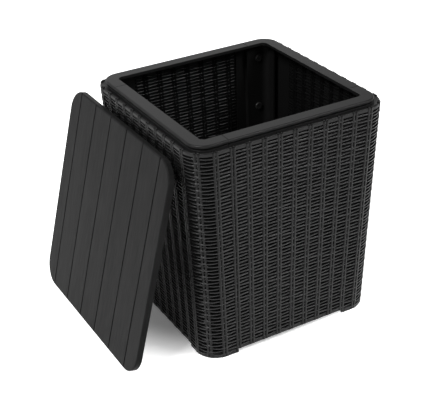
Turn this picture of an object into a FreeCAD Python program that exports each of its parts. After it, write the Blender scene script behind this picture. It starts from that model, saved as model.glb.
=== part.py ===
"""Outdoor storage side table: four moulded side panels, a floor, corner screws and a leaning lid.

Millimetres, +Z up. The box is built round its own upright axis, front wall towards -Y, and the
finished group is moved so that the origin is the bottom centre of the whole group.
"""
import FreeCAD, Part
import math
import os

Vector = FreeCAD.Vector
UP = Vector(0, 0, 1)
QUARTER_TURN = 90.0
DIAGONAL = math.sqrt(0.5)

# Box outline. Half widths are measured over the middle of the wicker relief.
rim_height = 468.0
base_half = 192.8
shoulder_half = 211.0
shoulder_drop = 9.5
corner_radius = 45.0

# Wall
weave_depth = 1.5
weave_crest = 1.5
wall = 4.0
border_height = 5.0

# Stakes of the wicker, moulded on the wall in pairs
half_wall_stakes = 4
corner_stakes = 4
stake_spread = 3.3
stake_width = 3.0
stake_crest = 1.0

# Feet, how far each foot runs along its own wall, and how far the panel reaches round its corner
# to the joint with the next panel
foot_height = 8.0
foot_reach = 68.0
reach_at_floor = 70.8
reach_at_rim = 79.0
joint_gap = 0.6

# Rim
shoulder_step = 11.5
shoulder_edge = 7.0
shoulder_arris = 2.5
channel_drop = 1.5
cove_radius = 4.0
neck_thickness = 4.0
band_width = 26.0
band_thickness = 4.0
band_edge = 5.5
band_arris = 3.0
band_undercut = 3.5
opening_radius = 10.0
lip_thickness = 3.0
lip_depth = 2.0

# Tongue that fixes a panel's plain end inside the next panel's corner
tongue_thickness = 3.5
tongue_inset = 16.5
tongue_radius = 15.0
tongue_return = 11.0
lap_length = 14.0
step_length = 11.0
fit_gap = 0.3
root_depth = 1.0

# Corner screws and their bosses
screw_rows = 4
lowest_screw = 98.0
top_screw_drop = 40.0
screw_inset = 43.0
screw_diameter = 5.0
hole_clearance = 0.6
bore_clearance = 0.2
bore_run_out = 1.0
bore_floor = 0.5
head_diameter = 16.0
head_height = 4.0
head_round = 1.5
drive_width = 1.8
drive_length = 9.0
drive_depth = 1.6
boss_diameter = 14.0
boss_root = 2.0

# Floor panel and the ledges that carry it
ledge_rise = 4.0
ledge_thickness = 4.0
ledge_depth = 12.0
ledge_end_gap = 17.0
floor_thickness = 4.0
floor_clearance = 0.5
floor_rib_depth = 6.0
floor_rib_thickness = 3.0
floor_rib_pitch = 80.0
floor_rib_end_gap = 10.0

# Lid
lid_overhang = 9.0
lid_radius = 46.0
lid_thickness = 12.0
lid_deck = 4.0
lid_skirt = 3.5
lid_arris = 3.0
plank_pitch = 70.0
plank_grooves = 6
groove_width = 3.2
groove_floor = 2.4
groove_depth = 2.2
seat_height = 5.0
lid_rib_thickness = 3.0
lid_ribs = 5
locator_clearance = 2.0
locator_thickness = 3.0
locator_drop = 21.0

# Where the lid leans
lid_lean = 14.7
lid_along_wall = 55.0
lean_gap = 0.3

# Heights and places that follow from the sizes above
shoulder_height = rim_height - shoulder_drop
shoulder_under = shoulder_height - shoulder_edge
wall_inside = weave_depth + wall
band_half = shoulder_half - shoulder_step
opening_half = band_half - band_width
band_under = rim_height - band_thickness
ledge_underside = foot_height + ledge_rise
floor_underside = ledge_underside + ledge_thickness
floor_top = floor_underside + floor_thickness
tongue_bottom = floor_top + fit_gap
tongue_top = shoulder_under - fit_gap
tongue_inside = tongue_inset + tongue_thickness
bore_bottom = wall_inside + bore_floor
screw_tip = bore_bottom + bore_run_out
screw_pitch = (rim_height - top_screw_drop - lowest_screw) / (screw_rows - 1)
wall_slope = (shoulder_half - base_half) / shoulder_height
rim_centre = shoulder_half - corner_radius
lid_half = shoulder_half + lid_overhang
locator_half = opening_half - locator_clearance
INWARD = Vector(0, 1, wall_slope)


def half_width(z):
    """Half width of the box over the wicker at height z."""
    return base_half + wall_slope * z


def joint_place(z):
    """Distance from the middle of a wall to its panel joint at height z."""
    return half_width(z) - reach_at_floor - (reach_at_rim - reach_at_floor) * z / shoulder_height


def panel_start(z):
    return -joint_place(z) + joint_gap / 2


def panel_end(z):
    return -joint_place(z) - joint_gap / 2


def line(start, end):
    return Part.LineSegment(start, end).toShape()


def arc(start, middle, end):
    return Part.Arc(start, middle, end).toShape()


def polygon(points, z):
    corners = [Vector(x, y, z) for x, y in points]
    return Part.makePolygon(corners + corners[:1])


def upright(outline, bottom, top):
    """Solid whose outline(z) is known at every height and runs straight between."""
    return Part.makeLoft([outline(bottom), outline(top)], True, True)


def prism(wire, height):
    return Part.Face(wire).extrude(UP * height)


def fused(shapes):
    return shapes[0].multiFuse(shapes[1:]).removeSplitter()


def turned(shape, quarters):
    """Copy turned about the box axis by a number of quarter turns."""
    copy = shape.copy()
    copy.rotate(Vector(), UP, QUARTER_TURN * quarters)
    return copy


def corner_path(z, half, centre, start, end):
    """Edges along the front from x = start, round the right corner, to y = end on the right side."""
    middle = centre + (half - centre) * DIAGONAL
    first = Vector(centre, -half, z)
    last = Vector(half, -centre, z)
    turn = arc(first, Vector(middle, -middle, z), last)
    return [line(Vector(start, -half, z), first), turn, line(last, Vector(half, end, z))]


def corner_strip(z, outer, inner, start, end):
    """Closed outline between two corner paths. outer and inner are (half width, corner centre)."""
    far = line(Vector(outer[0], end, z), Vector(inner[0], end, z))
    near = line(Vector(start, -inner[0], z), Vector(start, -outer[0], z))
    inside = corner_path(z, *inner, start, end)[::-1]
    return Part.Wire(corner_path(z, *outer, start, end) + [far] + inside + [near])


def wall_layer(outset, inset):
    """Outline rule of a wall layer that lies outset to inset within the wicker's middle surface."""
    def outline(z):
        half = half_width(z)
        centre = half - corner_radius
        outer = (half - outset, centre)
        inner = (half - inset, centre)
        return corner_strip(z, outer, inner, panel_start(z), panel_end(z))
    return outline


def wall_shell():
    """Wall with its integral corner and foot, and plain borders along its lower edges."""
    foot_end = base_half - foot_reach
    reach = 2 * shoulder_half
    foot_zone = Part.makeBox(reach, reach, rim_height, Vector(foot_end, -reach, 0))
    below_wall = Part.makeBox(reach, reach, foot_height, Vector(foot_end - reach, -reach, 0))
    border = wall_layer(0, wall_inside)
    foot_border = upright(border, 0, border_height).common(foot_zone)
    wall_border = upright(border, foot_height, foot_height + border_height).cut(foot_zone)
    shell = upright(wall_layer(weave_depth, wall_inside), 0, shoulder_under + root_depth)
    return fused([shell.cut(below_wall), foot_border, wall_border])


def stake_place(stake, z):
    """Distance along the wicker from the middle of the front wall to a stake pair at height z."""
    joint = joint_place(z)
    if stake <= half_wall_stakes:
        return joint * stake / half_wall_stakes
    round_corner = 2 * (half_width(z) - corner_radius - joint) + corner_radius * math.pi / 2
    return joint + round_corner * (stake - half_wall_stakes) / corner_stakes


def stake_rib(stake, hand):
    """One stake of a pair, as a rib from the lower border to the shoulder."""
    def outline(z):
        centre = half_width(z) - corner_radius
        along = stake_place(stake, z) + hand * stake_spread
        turn = min(max((along - centre) / corner_radius, 0), math.pi / 2)
        past_turn = max(along - centre - corner_radius * math.pi / 2, 0)

        def place(across, out):
            x = min(along, centre) + (corner_radius + out) * math.sin(turn) + across * math.cos(turn)
            y = past_turn - centre - (corner_radius + out) * math.cos(turn) + across * math.sin(turn)
            return x, y

        half = stake_width / 2
        deep = -weave_depth - root_depth
        corners = [(-half, deep), (half, deep), (half, stake_crest), (-half, stake_crest)]
        return polygon([place(across, out) for across, out in corners], z)
    return upright(outline, foot_height + border_height, shoulder_under)


def stakes():
    """Stake pairs of one panel. The pair on a panel joint has one stake on either panel."""
    made = []
    for stake in range(-half_wall_stakes, half_wall_stakes + corner_stakes):
        made += [stake_rib(stake, 1), stake_rib(stake + 1, -1)]
    return made


def shoulder_section():
    """Section of the rim's outer part: the band's rounded edge, a channel beside it and the shoulder."""
    def place(out, z):
        return Vector(0, -out, z)

    arris_keep = band_arris * (1 - DIAGONAL)
    cove_keep = cove_radius * (1 - DIAGONAL)
    shoulder_keep = shoulder_arris * (1 - DIAGONAL)
    root = band_half - band_width / 2
    neck = band_half - band_undercut
    neck_inside = neck - neck_thickness
    wall_face = shoulder_half - wall_inside
    edge_height = rim_height - band_edge
    channel_bottom = shoulder_height - channel_drop

    start = place(root, rim_height)
    arris_in = place(band_half - band_arris, rim_height)
    arris_middle = place(band_half - arris_keep, rim_height - arris_keep)
    arris_out = place(band_half, rim_height - band_arris)
    edge_out = place(band_half, edge_height)
    edge_in = place(neck, edge_height)
    cove_top = place(neck, channel_bottom + cove_radius)
    cove_middle = place(neck + cove_keep, channel_bottom + cove_keep)
    cove_out = place(neck + cove_radius, channel_bottom)
    shoulder_in = place(shoulder_half - shoulder_arris, shoulder_height)
    shoulder_middle = place(shoulder_half - shoulder_keep, shoulder_height - shoulder_keep)
    shoulder_out = place(shoulder_half, shoulder_height - shoulder_arris)
    shoulder_foot = place(shoulder_half, shoulder_under)
    wall_top = place(wall_face, shoulder_under)
    neck_foot = place(neck_inside, channel_bottom - neck_thickness)
    neck_top = place(neck_inside, band_under)
    back = place(root, band_under)
    edges = [line(start, arris_in), arc(arris_in, arris_middle, arris_out), line(arris_out, edge_out)]
    edges += [line(edge_out, edge_in), line(edge_in, cove_top), arc(cove_top, cove_middle, cove_out)]
    edges += [line(cove_out, shoulder_in), arc(shoulder_in, shoulder_middle, shoulder_out)]
    edges += [line(shoulder_out, shoulder_foot), line(shoulder_foot, wall_top)]
    edges += [line(wall_top, neck_foot), line(neck_foot, neck_top), line(neck_top, back), line(back, start)]
    return Part.Face(Part.Wire(edges))


def rim():
    """Rim of one panel: shoulder, flat band and the lip that hangs from the band's inner edge."""
    start = panel_start(shoulder_height)
    end = panel_end(shoulder_height)
    section = shoulder_section()
    along = section.translated(Vector(start, 0, 0)).extrude(Vector(rim_centre - start, 0, 0))
    corner = section.translated(Vector(rim_centre, 0, 0))
    corner = corner.revolve(Vector(rim_centre, -rim_centre, 0), UP, QUARTER_TURN)
    back = turned(section, 1).translated(Vector(0, -rim_centre, 0))
    back = back.extrude(Vector(0, end + rim_centre, 0))

    opening = (opening_half, opening_half - opening_radius)
    band_edge = (band_half - band_arris, rim_centre)
    lip_edge = (opening_half + lip_thickness, opening_half - opening_radius)
    band = prism(corner_strip(band_under, band_edge, opening, start, end), band_thickness)
    lip = prism(corner_strip(band_under - lip_depth, lip_edge, opening, start, end), lip_depth)
    return [along, corner, back, band, lip]


def tongue():
    """Joggled tongue on the panel's plain end: lap, step and a plate that follows the corner inside."""
    lap_out = wall_inside + fit_gap
    lap_in = lap_out + tongue_thickness

    def bar(z, near, far, out, deep):
        """Rectangle along the front wall, near and far from the joint, out to deep inside the wicker."""
        x_near = -(joint_place(z) + near)
        x_far = -(joint_place(z) + far)
        y_out = out - half_width(z)
        y_deep = deep - half_width(z)
        return polygon([(x_near, y_out), (x_far, y_out), (x_far, y_deep), (x_near, y_deep)], z)

    def root(z):
        return bar(z, -lap_length, -joint_gap / 2, wall_inside - root_depth, lap_in)

    def lap(z):
        return bar(z, -lap_length, step_length, lap_out, lap_in)

    def step(z):
        return bar(z, step_length - tongue_thickness, step_length, lap_out, tongue_inside)

    def plate(z):
        half = half_width(z)
        outer = half - tongue_inset
        inner = half - tongue_inside
        centre = inner - tongue_radius
        end = centre - tongue_return
        start = joint_place(z) + step_length - tongue_thickness
        outer_middle = centre + (outer - centre) * DIAGONAL
        inner_middle = centre + (inner - centre) * DIAGONAL
        corners = [(-start, -outer), (-centre, -outer), (-outer, -centre), (-outer, -end),
                   (-inner, -end), (-inner, -centre), (-centre, -inner), (-start, -inner)]
        p = [Vector(x, y, z) for x, y in corners]
        outer_arc = arc(p[1], Vector(-outer_middle, -outer_middle, z), p[2])
        inner_arc = arc(p[5], Vector(-inner_middle, -inner_middle, z), p[6])
        edges = [line(p[0], p[1]), outer_arc, line(p[2], p[3]), line(p[3], p[4])]
        edges += [line(p[4], p[5]), inner_arc, line(p[6], p[7]), line(p[7], p[0])]
        return Part.Wire(edges)

    return [upright(outline, tongue_bottom, tongue_top) for outline in (root, lap, step, plate)]


def screw_heights():
    return [lowest_screw + row * screw_pitch for row in range(screw_rows)]


def pin_place(z, depth):
    """Point on the axis of the front left screw that enters the wicker at height z."""
    half = half_width(z)
    entry = Vector(screw_inset - half, -half, z)
    return entry + INWARD * (depth / INWARD.Length ** 2)


def pin(z, diameter, deep, out):
    """Cylinder square to the front wall beside the front left corner, between two depths in the wall."""
    return Part.makeCylinder(diameter / 2, (deep - out) / INWARD.Length, pin_place(z, out), INWARD)


def bosses():
    """Bosses in the panel's own corner, where the next panel's tongue lands."""
    made = [pin(z, boss_diameter, tongue_inset, wall_inside - boss_root) for z in screw_heights()]
    return [turned(boss, 1) for boss in made]


def boss_bores():
    diameter = screw_diameter + bore_clearance
    made = [pin(z, diameter, tongue_inset, bore_bottom) for z in screw_heights()]
    return [turned(bore, 1) for bore in made]


def tongue_holes():
    diameter = screw_diameter + hole_clearance
    return [pin(z, diameter, tongue_inside, tongue_inset) for z in screw_heights()]


def floor_ledge():
    """Ledge inside the wall that carries one edge of the floor panel."""
    def outline(z):
        out = half_width(z) - wall_inside + root_depth
        deep = half_width(z) - wall_inside - ledge_depth
        side = joint_place(0) - ledge_end_gap
        return polygon([(-side, -out), (side, -out), (side, -deep), (-side, -deep)], z)
    return upright(outline, ledge_underside, floor_underside)


def side_panel():
    """The front panel. The other three are this one, turned."""
    body = fused([wall_shell()] + stakes() + rim() + tongue() + bosses() + [floor_ledge()])
    return body.cut(Part.makeCompound(boss_bores() + tongue_holes()))


def screw(z):
    """Round-headed screw with a cross drive, at the front left corner."""
    head = pin(z, head_diameter, tongue_inside + head_height, tongue_inside)
    inner_rim = max(head.Edges, key=lambda edge: edge.CenterOfMass.y)
    head = head.makeFillet(head_round, [inner_rim])
    shank = pin(z, screw_diameter, tongue_inside, screw_tip)
    slot = Part.makeBox(drive_length, drive_depth, drive_width)
    slot.translate(Vector(-drive_length / 2, -drive_depth, -drive_width / 2))
    upright_slot = slot.copy()
    upright_slot.rotate(Vector(), Vector(0, 1, 0), QUARTER_TURN)
    cross = slot.fuse(upright_slot)
    cross.rotate(Vector(), Vector(1, 0, 0), math.degrees(math.atan(wall_slope)))
    cross.translate(pin_place(z, tongue_inside + head_height))
    return head.fuse(shank).removeSplitter().cut(cross)


def corner_screws():
    return Part.makeCompound([screw(z) for z in screw_heights()])


def rounded_square(half, radius, z):
    """Outline of a square with rounded corners, centred on the upright axis."""
    centre = half - radius
    middle = centre + radius * DIAGONAL
    edges = []
    for quarter in range(4):
        side = line(Vector(-centre, -half, z), Vector(centre, -half, z))
        turn = arc(Vector(centre, -half, z), Vector(middle, -middle, z), Vector(half, -centre, z))
        edges += [turned(side, quarter), turned(turn, quarter)]
    return Part.Wire(edges)


def floor_panel():
    """Flat floor with crossed ribs underneath, dropped onto the ledges."""
    half = half_width(floor_underside) - wall_inside - floor_clearance
    radius = corner_radius - wall_inside - floor_clearance
    plate = prism(rounded_square(half, radius, floor_underside), floor_thickness)
    rib_half = half_width(ledge_underside) - wall_inside - ledge_depth - floor_rib_end_gap
    rib_bottom = floor_underside - floor_rib_depth
    ribs = []
    for place in (-floor_rib_pitch, 0, floor_rib_pitch):
        corner = Vector(-rib_half, place - floor_rib_thickness / 2, rib_bottom)
        rib = Part.makeBox(2 * rib_half, floor_rib_thickness, floor_rib_depth, corner)
        ribs += [rib, turned(rib, 1)]
    return fused([plate] + ribs)


def lid_flat():
    """Lid lying flat, top up, planks along X, skirt down to z = 0 and the locator below that."""
    under_deck = lid_thickness - lid_deck
    block = prism(rounded_square(lid_half, lid_radius, 0), lid_thickness)
    top_edges = [edge for edge in block.Edges if edge.BoundBox.ZMin > under_deck]
    block = block.makeFillet(lid_arris, top_edges)
    hollow = prism(rounded_square(lid_half - lid_skirt, lid_radius - lid_skirt, 0), under_deck)

    locator_radius = opening_radius - locator_clearance
    locator_height = locator_drop + under_deck
    locator = prism(rounded_square(locator_half, locator_radius, -locator_drop), locator_height)
    inside_half = locator_half - locator_thickness
    inside_radius = locator_radius - locator_thickness
    locator = locator.cut(prism(rounded_square(inside_half, inside_radius, -locator_drop), locator_height))

    rib_half = lid_half - lid_skirt / 2
    ribs = []
    for number in range(lid_ribs):
        place = (number - (lid_ribs - 1) / 2) * plank_pitch
        corner = Vector(-rib_half, place - lid_rib_thickness / 2, seat_height)
        rib = Part.makeBox(2 * rib_half, lid_rib_thickness, under_deck - seat_height, corner)
        ribs += [rib, turned(rib, 1)]

    grooves = []
    for number in range(plank_grooves):
        place = (number - (plank_grooves - 1) / 2) * plank_pitch
        groove_bottom = lid_thickness - groove_depth
        near = Vector(-lid_half, place - groove_width / 2, lid_thickness)
        far = Vector(-lid_half, place + groove_width / 2, lid_thickness)
        deep_far = Vector(-lid_half, place + groove_floor / 2, groove_bottom)
        deep_near = Vector(-lid_half, place - groove_floor / 2, groove_bottom)
        section = Part.Face(Part.makePolygon([near, far, deep_far, deep_near, near]))
        grooves.append(section.extrude(Vector(2 * lid_half, 0, 0)))

    moulding = fused([block.cut(hollow), locator] + ribs)
    return moulding.cut(Part.makeCompound(grooves))


def lid():
    """Lid standing on its skirt's lower edge, with the upper side of its locator against the left wall."""
    lean = math.radians(lid_lean)
    locator_top = lid_half + locator_half
    touch_height = locator_top * math.cos(lean) - locator_drop * math.sin(lean)
    touch = half_width(touch_height) + weave_crest + lean_gap
    foot_out = touch + locator_top * math.sin(lean) + locator_drop * math.cos(lean)
    leaning = lid_flat()
    leaning.translate(Vector(lid_half, 0, 0))
    leaning.rotate(Vector(), Vector(0, 1, 0), lid_lean - QUARTER_TURN)
    leaning.translate(Vector(-foot_out, lid_along_wall, 0))
    return leaning


def pieces():
    """Every piece by name, round the box axis."""
    panel = side_panel()
    screws = corner_screws()
    made = {}
    for quarter, side in enumerate(("front", "right", "back", "left")):
        made[f"panel_{side}"] = turned(panel, quarter)
    for quarter, corner in enumerate(("front_left", "front_right", "back_right", "back_left")):
        made[f"screws_{corner}"] = turned(screws, quarter)
    made["floor_panel"] = floor_panel()
    made["lid"] = lid()
    return made


def main():
    made = pieces()
    box = Part.makeCompound(list(made.values())).optimalBoundingBox()
    to_origin = Vector(-box.Center.x, -box.Center.y, -box.ZMin)
    os.makedirs("parts", exist_ok=True)
    for name, shape in made.items():
        shape.translate(to_origin)
        shape.exportStep(f"parts/{name}.step")
        print(f"{name}: {len(shape.Solids)} solids, valid {shape.isValid()}, {shape.Volume:.0f} mm3")
    print(f"box axis at x {to_origin.x:.3f}, y {to_origin.y:.3f}")
    print(f"size {box.XLength:.2f} x {box.YLength:.2f} x {box.ZLength:.2f}")


main()
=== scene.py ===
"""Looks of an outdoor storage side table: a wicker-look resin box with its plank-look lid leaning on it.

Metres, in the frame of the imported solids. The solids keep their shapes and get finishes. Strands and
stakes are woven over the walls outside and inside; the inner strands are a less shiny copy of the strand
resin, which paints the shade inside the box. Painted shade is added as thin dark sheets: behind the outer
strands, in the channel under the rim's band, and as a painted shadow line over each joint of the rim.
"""
import math

import bpy
import numpy as np
from mathutils import Matrix, Vector


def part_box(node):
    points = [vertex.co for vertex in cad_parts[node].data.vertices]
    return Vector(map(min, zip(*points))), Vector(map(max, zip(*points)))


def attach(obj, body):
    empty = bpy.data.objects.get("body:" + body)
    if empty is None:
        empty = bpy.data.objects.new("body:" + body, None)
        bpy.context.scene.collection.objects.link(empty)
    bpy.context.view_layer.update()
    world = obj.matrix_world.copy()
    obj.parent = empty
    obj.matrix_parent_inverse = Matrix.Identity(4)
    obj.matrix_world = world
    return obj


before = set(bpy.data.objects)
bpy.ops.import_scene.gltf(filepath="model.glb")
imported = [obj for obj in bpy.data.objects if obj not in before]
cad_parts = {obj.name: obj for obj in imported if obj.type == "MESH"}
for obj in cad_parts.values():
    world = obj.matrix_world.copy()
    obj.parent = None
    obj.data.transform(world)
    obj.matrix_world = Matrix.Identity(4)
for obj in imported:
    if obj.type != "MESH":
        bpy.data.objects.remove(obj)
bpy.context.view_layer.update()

SEED = 7
QUARTERS = ("front", "right", "back", "left")

# Box, as in the solids. The half widths are those of the wicker's middle surface.
BASE_HALF = 0.1928
SHOULDER_HALF = 0.211
SHOULDER_HEIGHT = 0.4585
SHOULDER_UNDER = 0.4515
CORNER_RADIUS = 0.045
SHOULDER_STEP = 0.0115
CHANNEL_BOTTOM = 0.4570
CHANNEL_COVE = 0.0040
BAND_UNDERCUT = 0.0035
BAND_EDGE = 0.4625
BAND_ARRIS = 0.0030
BAND_WIDTH = 0.0260
RIM_HEIGHT = 0.4680
FOOT_REACH = 0.068
REACH_AT_FLOOR = 0.0708
REACH_AT_RIM = 0.079
JOINT_GAP = 0.0006
WALL_FACE = -0.0015
INNER_FACE = -0.0055

# Wicker: rows of strands that pass before and behind pairs of stakes
STAKES_TO_JOINT = 4
STAKES_ROUND_CORNER = 4
ROWS = 60
ROW_BOTTOM = 0.0115
ROW_TOP = 0.4500
BOTTOM_ROW_PITCH = 0.00766
FOOT_ROWS = 1
SECTION_POWER = 0.8
STRAND_SHARE = 0.51
STRAND_LEAN = 0.16
STRAND_HALF_DEPTH = 0.0015
STRAND_MIDDLE = -0.0009
STRAND_SWING = 0.0006
CORNER_STRAND_SWING = 0.0004
CORNER_STRAND_RISE = 0.00035
STAKE_HALF_WIDTH = 0.0028
STAKE_HALF_DEPTH = 0.0015
STAKE_SPREAD = 0.0033
STAKE_MIDDLE = -0.00015
STAKE_SWING = 0.00010
CORNER_STAKE_FALL = 0.00015
STAKE_BOTTOM = 0.0085
STAKE_TOP = 0.4567
FOOT_BOTTOM = 0.0010
LOOP_RADIUS = 0.0024
LOOP_TURN = math.radians(130)
JOINT_CLEARANCE = 0.0001

# Inner wicker, which ends short of the corners. Places are counted in stakes from the wall's middle.
INNER_BOTTOM = 0.0240
INNER_STRANDS_FIRST = -3.55
INNER_STRANDS_LAST = 3.7
INNER_STAKES = 3

# Places, counted in stakes, at which each strand gets a lean of its own
LEAN_PLACES = np.arange(-6, 12)

# Painted shade: a dark sheet on the wall behind the strands, a dark lining in the channel under the rim's
# band, and a dark painted shadow line over each joint of the rim
PAINTED_SHADE_FACE = -0.0013
CHANNEL_SHADE_THICKNESS = 0.0002
CHANNEL_SHADE_TURN = math.radians(50)
JOINT_SHADOW_WIDTH = 0.0011
JOINT_SHADOW_HEIGHT = 0.00005
JOINT_SHADOW_DEPTH = 0.0004

# Mesh steps
STEPS_PER_STAKE = 8
STEPS_PER_ROW = 4
SECTION_POINTS = 8
COVE_STEPS = 6
LOOP_STEPS = 8

# Finishes. Grey and roughness run from the first value to the second with the noise of the surface,
# and shine is the specular level.
STRAND_GREY = (0.003, 0.006)
STRAND_ROUGHNESS = (0.18, 0.30)
STRAND_SHINE = 0.29
STRAND_STREAKS = (40, 40, 900)
# Shine of the inner strands: a less shiny copy of the strand resin, which paints the shade inside the box
INNER_STRAND_SHADED_SHINE = 0.20
STAKE_SHINE = 0.16
STAKE_STREAKS = (700, 700, 40)
RESIN_GREY = (0.004, 0.006)
RESIN_ROUGHNESS = (0.42, 0.52)
RESIN_SHINE = 0.29
LID_GREY = (0.015, 0.022)
LID_ROUGHNESS = (0.52, 0.44)
LID_SHINE = 0.045
LID_LEAN = math.radians(14.7)
LID_FINE_GRAIN = (25, 420, 25)
LID_BROAD_GRAIN = (2.5, 60, 2.5)
LID_FINE_SHARE = 0.75
# Painted shade: finish of the dark sheets behind the strands, in the rim's channel and over the joints
PAINTED_SHADE_GREY = (0.003, 0.006)
# Painted shade in the channel under the rim's band
CHANNEL_SHADE_GREY = (0.011, 0.015)
PAINTED_SHADE_ROUGHNESS = (0.85, 0.95)
PAINTED_SHADE_SHINE = 0.05
SCREW_GREY = (0.025, 0.06)
SCREW_ROUGHNESS = (0.30, 0.42)
SCREW_METALLIC = 0.6

# Values of the noise between which a finish changes
WIDE_NOISE = (0.3, 0.7)
NARROW_NOISE = (0.35, 0.65)
WEAR_NOISE = (0.35, 0.7)

# Camera, fitted to the photograph's view
PHOTO_WIDTH = 430
FOCAL_PIXELS = 1074.24
SENSOR_WIDTH = 36.0
VIEW_AZIMUTH = math.radians(-28.428)
VIEW_ELEVATION = math.radians(29.103)
VIEW_ROLL = math.radians(-2.478)
VIEW_DISTANCE = 2.20908
VIEW_RIGHT = -0.050021
VIEW_UP = -0.012159
VIEW_HEIGHT = 0.220

# Lamps: name, place, side length and strength
LAMPS = (
    ("left_light", (-1.4, -0.5, 2.2), 0.7, 0.75),
    ("right_light", (1.0, -1.4, 1.95), 0.7, 0.40),
    ("back_light", (0.5, 2.2, 1.45), 2.8, 0.26),
)
LAMP_AIM = (0, 0, 0.25)

# Light of the sky, where 1 is white. Seen directly, it is white up to one height and plain from another.
SKY_LIGHT = 0.15
HORIZON_LIGHT = 1.0
HORIZON_TOP = 0.05
SKY_BOTTOM = 0.35

# Floor: grey under the lamps, grey seen directly, and a glow seen directly that fades under the object
FLOOR_HALF = 6.0
FLOOR_ROUGHNESS = 0.9
FLOOR_LIT_GREY = 0.15
FLOOR_SEEN_GREY = 0.95
SHADE_CENTRE = (0.03, 0.05, 0)
SHADE_RADIUS = 0.20
SHADE_GLOW = 0.12
CLEAR_RADIUS = 0.36
CLEAR_GLOW = 1.0

low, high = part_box("floor_panel")
AXIS = Vector(((low.x + high.x) / 2, (low.y + high.y) / 2, 0))


def half_width(z):
    return BASE_HALF + (SHOULDER_HALF - BASE_HALF) * z / SHOULDER_HEIGHT


def joint_place(z):
    """Distance of the panel joints from the middle of a wall."""
    return half_width(z) - REACH_AT_FLOOR - (REACH_AT_RIM - REACH_AT_FLOOR) * z / SHOULDER_HEIGHT


def corner_length(z):
    """Distance along the wicker round a corner, from one panel joint to the next."""
    return 2 * (half_width(z) - CORNER_RADIUS - joint_place(z)) + CORNER_RADIUS * math.pi / 2


def along_wall(stake, z):
    """Distance along the wicker from the middle of the front wall to a place counted in stakes."""
    joint = joint_place(z)
    round_corner = corner_length(z)
    on_front = np.clip(stake, -STAKES_TO_JOINT, STAKES_TO_JOINT) * joint / STAKES_TO_JOINT
    past_joint = np.clip(stake - STAKES_TO_JOINT, 0, STAKES_ROUND_CORNER)
    return on_front + past_joint * round_corner / STAKES_ROUND_CORNER


def wall_points(distance, z, out):
    """Points of the front panel's wall, out from the wicker's middle surface."""
    centre = half_width(z) - CORNER_RADIUS
    turn = np.clip((distance - centre) / CORNER_RADIUS, 0, math.pi / 2)
    past = np.maximum(distance - centre - CORNER_RADIUS * math.pi / 2, 0)
    x = np.minimum(distance, centre) + (CORNER_RADIUS + out) * np.sin(turn)
    y = past - centre - (CORNER_RADIUS + out) * np.cos(turn)
    return np.stack(np.broadcast_arrays(x, y, z), axis=-1)


def clear_of_ends(distance):
    """Distances along a wall, held back at both ends so that they keep clear of the panel joints."""
    trim = JOINT_GAP / 2 + JOINT_CLEARANCE
    return np.clip(distance, distance[0] + trim, distance[-1] - trim)


def stake_steps(first, last):
    """Places from first to last, counted in stakes, at which a sheet along the wall gets its points."""
    return np.linspace(first, last, (last - first) * STEPS_PER_STAKE + 1)


def corner_share(stake):
    """1 at the stake in the middle of the corner, falling to 0 at the stakes beside it."""
    middle = STAKES_TO_JOINT + STAKES_ROUND_CORNER / 2
    return np.clip(1 - np.abs(stake - middle), 0, 1)


def foot_start():
    """Place, counted in stakes, where the foot ends on its own wall."""
    past_joint = BASE_HALF - FOOT_REACH - joint_place(0)
    return STAKES_TO_JOINT + STAKES_ROUND_CORNER * past_joint / corner_length(0)


def row_heights():
    """Numbers and heights of the edges between the strand rows, closer together towards the rim."""
    mean_pitch = (ROW_TOP - ROW_BOTTOM) / ROWS
    edges = np.arange(-FOOT_ROWS, ROWS + 1)
    narrowing = (BOTTOM_ROW_PITCH - mean_pitch) / ROWS
    heights = ROW_BOTTOM + edges * (mean_pitch + narrowing * (ROWS - edges))
    return edges, heights


def section(half_across, half_deep, count):
    """Closed oval section: offsets across the strand and out of the wall."""
    angle = np.arange(count) * 2 * math.pi / count
    across = half_across * np.sign(np.sin(angle)) * np.abs(np.sin(angle)) ** SECTION_POWER
    deep = half_deep * np.sign(np.cos(angle)) * np.abs(np.cos(angle)) ** SECTION_POWER
    return across, deep


class Tubes:
    """Closed tubes gathered into one mesh."""

    def __init__(self):
        self.points = []
        self.faces = []
        self.count = 0

    def add(self, rings):
        length, around, _ = rings.shape
        start = self.count + np.arange(length - 1)[:, None] * around
        step = np.arange(around)[None, :]
        following = (step + 1) % around
        corners = [start + step, start + following, start + around + following, start + around + step]
        self.faces += np.stack(corners, -1).reshape(-1, 4).tolist()
        self.faces.append((self.count + np.arange(around))[::-1].tolist())
        self.faces.append((self.count + (length - 1) * around + np.arange(around)).tolist())
        self.points.append(rings.reshape(-1, 3))
        self.count += length * around

    def mesh(self, name, quarter):
        """Mesh of the front panel's tubes, turned by quarters round the box."""
        points = np.concatenate(self.points)
        turn = quarter * math.pi / 2
        x = points[:, 0] * math.cos(turn) - points[:, 1] * math.sin(turn) + AXIS.x
        y = points[:, 0] * math.sin(turn) + points[:, 1] * math.cos(turn) + AXIS.y
        mesh = bpy.data.meshes.new(name)
        mesh.from_pydata(np.stack([x, y, points[:, 2]], -1).tolist(), [], self.faces)
        mesh.shade_smooth()
        return mesh


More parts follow.
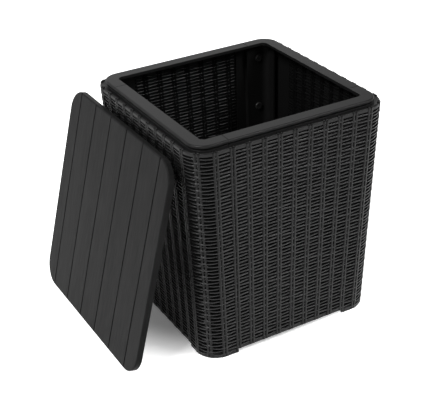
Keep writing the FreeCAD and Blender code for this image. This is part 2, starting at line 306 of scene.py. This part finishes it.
def strand_tubes(first, last, side, rng):
    """Strands between two places counted in stakes. side is 1 outside the wall and -1 inside."""
    tubes = Tubes()
    edges, heights = row_heights()
    for row, low_edge, high_edge in zip(edges[:-1], heights[:-1], heights[1:]):
        start = first if row >= 0 else foot_start()
        if start >= last or side < 0 and low_edge < INNER_BOTTOM:
            continue
        steps = int(round((last - start) * STEPS_PER_STAKE))
        stake = np.linspace(start, last, steps + 1)
        middle = (low_edge + high_edge) / 2
        swing = np.cos(math.pi * (stake + row)) * side
        half_height = STRAND_SHARE * (high_edge - low_edge) / 2
        across, deep = section(half_height, STRAND_HALF_DEPTH, SECTION_POINTS)
        lean = np.interp(stake, LEAN_PLACES, rng.normal(0, STRAND_LEAN, len(LEAN_PLACES)))
        up = across[None, :] * np.cos(lean)[:, None] + deep[None, :] * np.sin(lean)[:, None]
        out = deep[None, :] * np.cos(lean)[:, None] - across[None, :] * np.sin(lean)[:, None]
        if side > 0:
            share = corner_share(stake)
            rise = (STRAND_SWING + CORNER_STRAND_SWING * share) * swing + CORNER_STRAND_RISE * share
            depth = STRAND_MIDDLE + rise[:, None] + out
        else:
            depth = INNER_FACE + WALL_FACE - STRAND_MIDDLE + STRAND_SWING * swing[:, None] + out
        distance = clear_of_ends(along_wall(stake[:, None], middle))
        tubes.add(wall_points(distance, middle + up, depth))
    return tubes


def border_loop(place, middle, deep):
    """Rings of a stake's end that turns over the border under the rim's band."""
    turn = np.linspace(0, LOOP_TURN, LOOP_STEPS + 1)[1:, None]
    reach = LOOP_RADIUS + deep[None, :]
    out = middle - LOOP_RADIUS + reach * np.cos(turn)
    return wall_points(place[None, :], STAKE_TOP + reach * np.sin(turn), out)


def stake_tubes(first, last, side):
    """Stakes in pairs. Outside, the pair on each panel joint is shared with the next panel."""
    tubes = Tubes()
    edges, heights = row_heights()
    middles = (heights[:-1] + heights[1:]) / 2
    across, deep = section(STAKE_HALF_WIDTH, STAKE_HALF_DEPTH, SECTION_POINTS)
    for stake in range(first, last + 1):
        on_foot = stake > STAKES_TO_JOINT
        bottom = FOOT_BOTTOM if on_foot else STAKE_BOTTOM
        top = STAKE_TOP
        if side < 0:
            bottom = INNER_BOTTOM
            top = ROW_TOP
        steps = int((top - bottom) / BOTTOM_ROW_PITCH * STEPS_PER_ROW)
        z = np.linspace(bottom, top, steps + 1)[:, None]
        row = np.interp(z, middles, edges[:-1])
        swing = -np.cos(math.pi * (row + stake)) * side
        for hand in (-1, 1):
            if side > 0 and (stake == first and hand < 0 or stake == last and hand > 0):
                continue
            distance = along_wall(stake, z) + hand * STAKE_SPREAD + across[None, :]
            if side > 0:
                outer_middle = STAKE_MIDDLE - CORNER_STAKE_FALL * corner_share(stake)
                depth = outer_middle + STAKE_SWING * swing + deep[None, :]
                place = along_wall(stake, top) + hand * STAKE_SPREAD + across
                end = [border_loop(place, outer_middle, deep)]
            else:
                depth = INNER_FACE + WALL_FACE - STAKE_MIDDLE + STAKE_SWING * swing + deep[None, :]
                end = []
            tubes.add(np.concatenate([wall_points(distance, z, depth)] + end))
    return tubes


def slit_painted_shade_sheet(first, last):
    """Thin black sheet on the wall behind the strands: painted shade in the slits between them."""
    stake = stake_steps(first, last)
    back = [(ROW_BOTTOM, WALL_FACE), (SHOULDER_UNDER, WALL_FACE)]
    face = [(SHOULDER_UNDER, PAINTED_SHADE_FACE), (ROW_BOTTOM, PAINTED_SHADE_FACE)]
    sides = [wall_points(clear_of_ends(along_wall(stake, z)), z, out) for z, out in back + face]
    tubes = Tubes()
    tubes.add(np.stack(sides, axis=1))
    return tubes


def channel_painted_shade(first, last):
    """Thin dark sheet over the neck and cove of the channel between the rim's band and its shoulder:
    painted shade in the channel.
    """
    neck = -SHOULDER_STEP - BAND_UNDERCUT
    bend = np.linspace(0, CHANNEL_SHADE_TURN, COVE_STEPS + 1)
    outline = []
    for radius, top in ((CHANNEL_COVE, BAND_EDGE), (CHANNEL_COVE - CHANNEL_SHADE_THICKNESS, BAND_EDGE - CHANNEL_SHADE_THICKNESS)):
        out = neck + CHANNEL_COVE - radius * np.cos(bend)
        z = CHANNEL_BOTTOM + CHANNEL_COVE - radius * np.sin(bend)
        side = [(out[0], top)] + list(zip(out, z))
        outline += side if not outline else side[::-1]
    distance = clear_of_ends(along_wall(stake_steps(first, last), SHOULDER_HEIGHT))
    sides = []
    for out, z in outline:
        points = wall_points(distance, SHOULDER_HEIGHT, out)
        points[:, 2] = z
        sides.append(points)
    tubes = Tubes()
    tubes.add(np.stack(sides, axis=1))
    return tubes


def joint_painted_shadow():
    """Dark line across the rim's band over the joint at the start of the front panel: a painted shadow of
    the gap between the panels.
    """
    middle = -joint_place(SHOULDER_HEIGHT)
    outer = BAND_ARRIS + SHOULDER_STEP - SHOULDER_HALF
    inner = BAND_WIDTH + SHOULDER_STEP - SHOULDER_HALF
    across = (-JOINT_SHADOW_WIDTH / 2, JOINT_SHADOW_WIDTH / 2, JOINT_SHADOW_WIDTH / 2, -JOINT_SHADOW_WIDTH / 2)
    above = (-JOINT_SHADOW_DEPTH, -JOINT_SHADOW_DEPTH, JOINT_SHADOW_HEIGHT, JOINT_SHADOW_HEIGHT)
    rings = [[(middle + x, y, RIM_HEIGHT + z) for x, z in zip(across, above)] for y in (outer, inner)]
    tubes = Tubes()
    tubes.add(np.array(rings))
    return tubes


def piece(name, mesh, material, body):
    thing = bpy.data.objects.new(name, mesh)
    bpy.context.scene.collection.objects.link(thing)
    mesh.materials.append(material)
    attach(thing, body)


class Nodes:
    """Shorthand for building one material's node tree."""

    def __init__(self, name):
        self.material = bpy.data.materials.new(name)
        self.material.use_nodes = True
        self.tree = self.material.node_tree
        self.shader = self.tree.nodes["Principled BSDF"]

    def add(self, kind, **values):
        node = self.tree.nodes.new(kind)
        for key, value in values.items():
            if key in node.inputs:
                node.inputs[key].default_value = value
            else:
                setattr(node, key, value)
        return node

    def link(self, source, target):
        self.tree.links.new(source, target)

    def noise(self, coordinates, scale, detail):
        node = self.add("ShaderNodeTexNoise", Scale=scale, Detail=detail)
        self.link(coordinates, node.inputs["Vector"])
        return node.outputs["Fac"]

    def stretched(self, scale=(1, 1, 1), rotation=(0, 0, 0)):
        where = self.add("ShaderNodeTexCoord")
        mapping = self.add("ShaderNodeMapping", Scale=scale, Rotation=rotation)
        self.link(where.outputs["Object"], mapping.inputs["Vector"])
        return mapping.outputs["Vector"]

    def vary(self, socket, noise, limits, values):
        """Let a socket of the shader run from the first value to the second between limits of the noise."""
        node = self.add("ShaderNodeValToRGB")
        for element, position, value in zip(node.color_ramp.elements, limits, values):
            element.position = position
            element.color = (value, value, value, 1)
        self.link(noise, node.inputs["Fac"])
        self.link(node.outputs["Color"], self.shader.inputs[socket])

    def bump(self, height, strength, distance):
        node = self.add("ShaderNodeBump", Strength=strength, Distance=distance)
        self.link(height, node.inputs["Height"])
        self.link(node.outputs["Normal"], self.shader.inputs["Normal"])


def strand_material(name, stretch, shine):
    """Satin resin with fine streaks along the strand."""
    nodes = Nodes(name)
    nodes.shader.inputs["Specular IOR Level"].default_value = shine
    streaks = nodes.noise(nodes.stretched(stretch), 1.0, 4.0)
    nodes.vary("Base Color", streaks, WIDE_NOISE, STRAND_GREY)
    nodes.vary("Roughness", streaks, WIDE_NOISE, STRAND_ROUGHNESS)
    nodes.bump(streaks, strength=0.25, distance=0.0003)
    return nodes.material


def resin_material(name):
    """Moulded resin: satin and very finely textured."""
    nodes = Nodes(name)
    nodes.shader.inputs["Specular IOR Level"].default_value = RESIN_SHINE
    grain = nodes.noise(nodes.stretched(), 1400.0, 2.0)
    cloud = nodes.noise(nodes.stretched(), 9.0, 3.0)
    nodes.vary("Base Color", cloud, NARROW_NOISE, RESIN_GREY)
    nodes.vary("Roughness", grain, WIDE_NOISE, RESIN_ROUGHNESS)
    nodes.bump(grain, strength=0.12, distance=0.0002)
    return nodes.material


def lid_material(name):
    """Resin moulded with a fine wood grain along the planks."""
    nodes = Nodes(name)
    nodes.shader.inputs["Specular IOR Level"].default_value = LID_SHINE
    along_planks = (0, -LID_LEAN, 0)
    fine = nodes.noise(nodes.stretched(LID_FINE_GRAIN, along_planks), 1.0, 5.0)
    broad = nodes.noise(nodes.stretched(LID_BROAD_GRAIN, along_planks), 1.0, 3.0)
    broad_part = nodes.add("ShaderNodeMath", operation="MULTIPLY")
    broad_part.inputs[1].default_value = 1 - LID_FINE_SHARE
    nodes.link(broad, broad_part.inputs[0])
    mixed = nodes.add("ShaderNodeMath", operation="MULTIPLY_ADD")
    mixed.inputs[1].default_value = LID_FINE_SHARE
    nodes.link(fine, mixed.inputs[0])
    nodes.link(broad_part.outputs[0], mixed.inputs[2])
    grain = mixed.outputs[0]
    nodes.vary("Base Color", grain, NARROW_NOISE, LID_GREY)
    nodes.vary("Roughness", grain, NARROW_NOISE, LID_ROUGHNESS)
    nodes.bump(grain, strength=0.15, distance=0.0003)
    return nodes.material


def painted_shade_material(name, greys):
    """Dull near-black finish that paints shade: between the strands, in the channel under the rim's band
    and on the joint lines.
    """
    nodes = Nodes(name)
    nodes.shader.inputs["Specular IOR Level"].default_value = PAINTED_SHADE_SHINE
    grain = nodes.noise(nodes.stretched(), 900.0, 2.0)
    nodes.vary("Base Color", grain, WIDE_NOISE, greys)
    nodes.vary("Roughness", grain, WIDE_NOISE, PAINTED_SHADE_ROUGHNESS)
    return nodes.material


def screw_material(name):
    """Blackened steel with slight wear."""
    nodes = Nodes(name)
    nodes.shader.inputs["Metallic"].default_value = SCREW_METALLIC
    wear = nodes.noise(nodes.stretched(), 600.0, 3.0)
    nodes.vary("Base Color", wear, WEAR_NOISE, SCREW_GREY)
    nodes.vary("Roughness", wear, WEAR_NOISE, SCREW_ROUGHNESS)
    return nodes.material


def dress_solids():
    resin = resin_material("wicker_resin_moulded")
    floor_resin = resin_material("floor_resin_moulded")
    lid_resin = lid_material("lid_resin_grained")
    steel = screw_material("screw_black_steel")
    for name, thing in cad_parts.items():
        if name.startswith("panel"):
            thing.data.materials[0] = resin
        elif name.startswith("screws"):
            thing.data.materials[0] = steel
        elif name == "lid":
            thing.data.materials[0] = lid_resin
        else:
            thing.data.materials[0] = floor_resin


def weave_walls():
    strand_resin = strand_material("wicker_strand_resin", STRAND_STREAKS, STRAND_SHINE)
    stake_resin = strand_material("wicker_stake_resin", STAKE_STREAKS, STAKE_SHINE)
    # The inner strands get a less shiny copy of the strand resin: painted shade inside the box
    inner_shaded_resin = strand_material("wicker_inner_strand_shaded_resin", STRAND_STREAKS, INNER_STRAND_SHADED_SHINE)
    # Near-black finishes that paint shade: behind the outer strands and over the joints, and in the rim's
    # channel
    painted_shade_resin = painted_shade_material("wicker_painted_shade_resin", PAINTED_SHADE_GREY)
    channel_shade_resin = painted_shade_material("rim_channel_resin", CHANNEL_SHADE_GREY)
    rng = np.random.default_rng(SEED)
    start = -STAKES_TO_JOINT
    end = STAKES_TO_JOINT + STAKES_ROUND_CORNER
    parts = (
        ("strands", strand_tubes(start, end, 1, rng), strand_resin),
        ("stakes", stake_tubes(start, end, 1), stake_resin),
        ("inner_strands", strand_tubes(INNER_STRANDS_FIRST, INNER_STRANDS_LAST, -1, rng), inner_shaded_resin),
        ("inner_stakes", stake_tubes(-INNER_STAKES, INNER_STAKES, -1), stake_resin),
        # Painted shade: a dark sheet behind the strands, a dark lining in the rim's channel and a painted
        # shadow line over each joint
        ("slit_painted_shade", slit_painted_shade_sheet(start, end), painted_shade_resin),
        # Painted shade lining the channel under the rim's band
        ("rim_channel", channel_painted_shade(start, end), channel_shade_resin),
        # Painted shadow line over each joint of the rim
        ("rim_joint_shadow", joint_painted_shadow(), painted_shade_resin),
    )
    for quarter, wall in enumerate(QUARTERS):
        for part, tubes, material in parts:
            name = f"{part}_{wall}"
            piece(name, tubes.mesh(name, quarter), material, "box")


def camera():
    back = Vector((math.cos(VIEW_ELEVATION) * math.sin(VIEW_AZIMUTH),
                   -math.cos(VIEW_ELEVATION) * math.cos(VIEW_AZIMUTH), math.sin(VIEW_ELEVATION)))
    level = Vector((math.cos(VIEW_AZIMUTH), math.sin(VIEW_AZIMUTH), 0))
    raised = back.cross(level)
    right = math.cos(VIEW_ROLL) * level + math.sin(VIEW_ROLL) * raised
    up = math.cos(VIEW_ROLL) * raised - math.sin(VIEW_ROLL) * level
    place = AXIS + Vector((0, 0, VIEW_HEIGHT)) + back * VIEW_DISTANCE + right * VIEW_RIGHT + up * VIEW_UP
    lens = bpy.data.cameras.new("camera")
    lens.sensor_width = SENSOR_WIDTH
    lens.lens = SENSOR_WIDTH * FOCAL_PIXELS / PHOTO_WIDTH
    thing = bpy.data.objects.new("camera", lens)
    thing.matrix_world = Matrix((right, up, back)).transposed().to_4x4()
    thing.location = place
    bpy.context.scene.collection.objects.link(thing)
    bpy.context.scene.camera = thing


def softbox(name, place, aim, size, strength):
    """Square area light. strength is the light it gives at aim, where 1 shows a white face as white."""
    light = bpy.data.lights.new(name, "AREA")
    light.size = size
    place = Vector(place)
    aim = Vector(aim)
    reach = (place - aim).length
    light.energy = strength * math.pi * reach ** 2 * math.pi
    thing = bpy.data.objects.new(name, light)
    thing.location = place
    thing.rotation_euler = (aim - place).to_track_quat("-Z", "Y").to_euler()
    bpy.context.scene.collection.objects.link(thing)


def seen_directly(tree):
    """1 for a ray from the camera, or one that a surface mirrors or lets through, and otherwise 0."""
    path = tree.nodes.new("ShaderNodeLightPath")
    total = path.outputs["Is Camera Ray"]
    for kind in ("Is Glossy Ray", "Is Transmission Ray"):
        larger = tree.nodes.new("ShaderNodeMath")
        larger.operation = "MAXIMUM"
        tree.links.new(total, larger.inputs[0])
        tree.links.new(path.outputs[kind], larger.inputs[1])
        total = larger.outputs[0]
    return total


def lights():
    for name, place, size, strength in LAMPS:
        softbox(name, place, LAMP_AIM, size, strength)


def sky():
    world = bpy.data.worlds.new("world")
    bpy.context.scene.world = world
    world.use_nodes = True
    tree = world.node_tree
    background = tree.nodes["Background"]
    background.inputs["Color"].default_value = (1, 1, 1, 1)
    direction = tree.nodes.new("ShaderNodeTexCoord")
    split = tree.nodes.new("ShaderNodeSeparateXYZ")
    tree.links.new(direction.outputs["Generated"], split.inputs["Vector"])
    seen = tree.nodes.new("ShaderNodeMapRange")
    seen.inputs["From Min"].default_value = HORIZON_TOP
    seen.inputs["From Max"].default_value = SKY_BOTTOM
    seen.inputs["To Min"].default_value = HORIZON_LIGHT
    seen.inputs["To Max"].default_value = SKY_LIGHT
    tree.links.new(split.outputs["Z"], seen.inputs["Value"])
    level = tree.nodes.new("ShaderNodeMapRange")
    level.inputs["To Min"].default_value = SKY_LIGHT
    tree.links.new(seen.outputs["Result"], level.inputs["To Max"])
    tree.links.new(seen_directly(tree), level.inputs["Value"])
    tree.links.new(level.outputs["Result"], background.inputs["Strength"])


def floor():
    mesh = bpy.data.meshes.new("floor")
    corners = [(x * FLOOR_HALF, y * FLOOR_HALF, 0) for x, y in ((-1, -1), (1, -1), (1, 1), (-1, 1))]
    mesh.from_pydata(corners, [], [(0, 1, 2, 3)])
    thing = bpy.data.objects.new("floor", mesh)
    bpy.context.scene.collection.objects.link(thing)
    nodes = Nodes("floor_white")
    nodes.shader.inputs["Roughness"].default_value = FLOOR_ROUGHNESS
    nodes.shader.inputs["Specular IOR Level"].default_value = 0.0
    nodes.shader.inputs["Emission Color"].default_value = (1, 1, 1, 1)
    seen = seen_directly(nodes.tree)
    white = nodes.add("ShaderNodeMapRange")
    white.inputs["To Min"].default_value = FLOOR_LIT_GREY
    white.inputs["To Max"].default_value = FLOOR_SEEN_GREY
    nodes.link(seen, white.inputs["Value"])
    nodes.link(white.outputs["Result"], nodes.shader.inputs["Base Color"])
    where = nodes.add("ShaderNodeNewGeometry")
    away = nodes.add("ShaderNodeVectorMath", operation="DISTANCE")
    away.inputs[1].default_value = SHADE_CENTRE
    nodes.link(where.outputs["Position"], away.inputs[0])
    glow = nodes.add("ShaderNodeMapRange", interpolation_type="SMOOTHSTEP")
    glow.inputs["From Min"].default_value = SHADE_RADIUS
    glow.inputs["From Max"].default_value = CLEAR_RADIUS
    glow.inputs["To Min"].default_value = SHADE_GLOW
    glow.inputs["To Max"].default_value = CLEAR_GLOW
    nodes.link(away.outputs["Value"], glow.inputs["Value"])
    lift = nodes.add("ShaderNodeMath", operation="MULTIPLY")
    nodes.link(seen, lift.inputs[0])
    nodes.link(glow.outputs["Result"], lift.inputs[1])
    nodes.link(lift.outputs[0], nodes.shader.inputs["Emission Strength"])
    mesh.materials.append(nodes.material)


bpy.context.scene.view_settings.view_transform = "Standard"
dress_solids()
weave_walls()
camera()
lights()
sky()
floor()
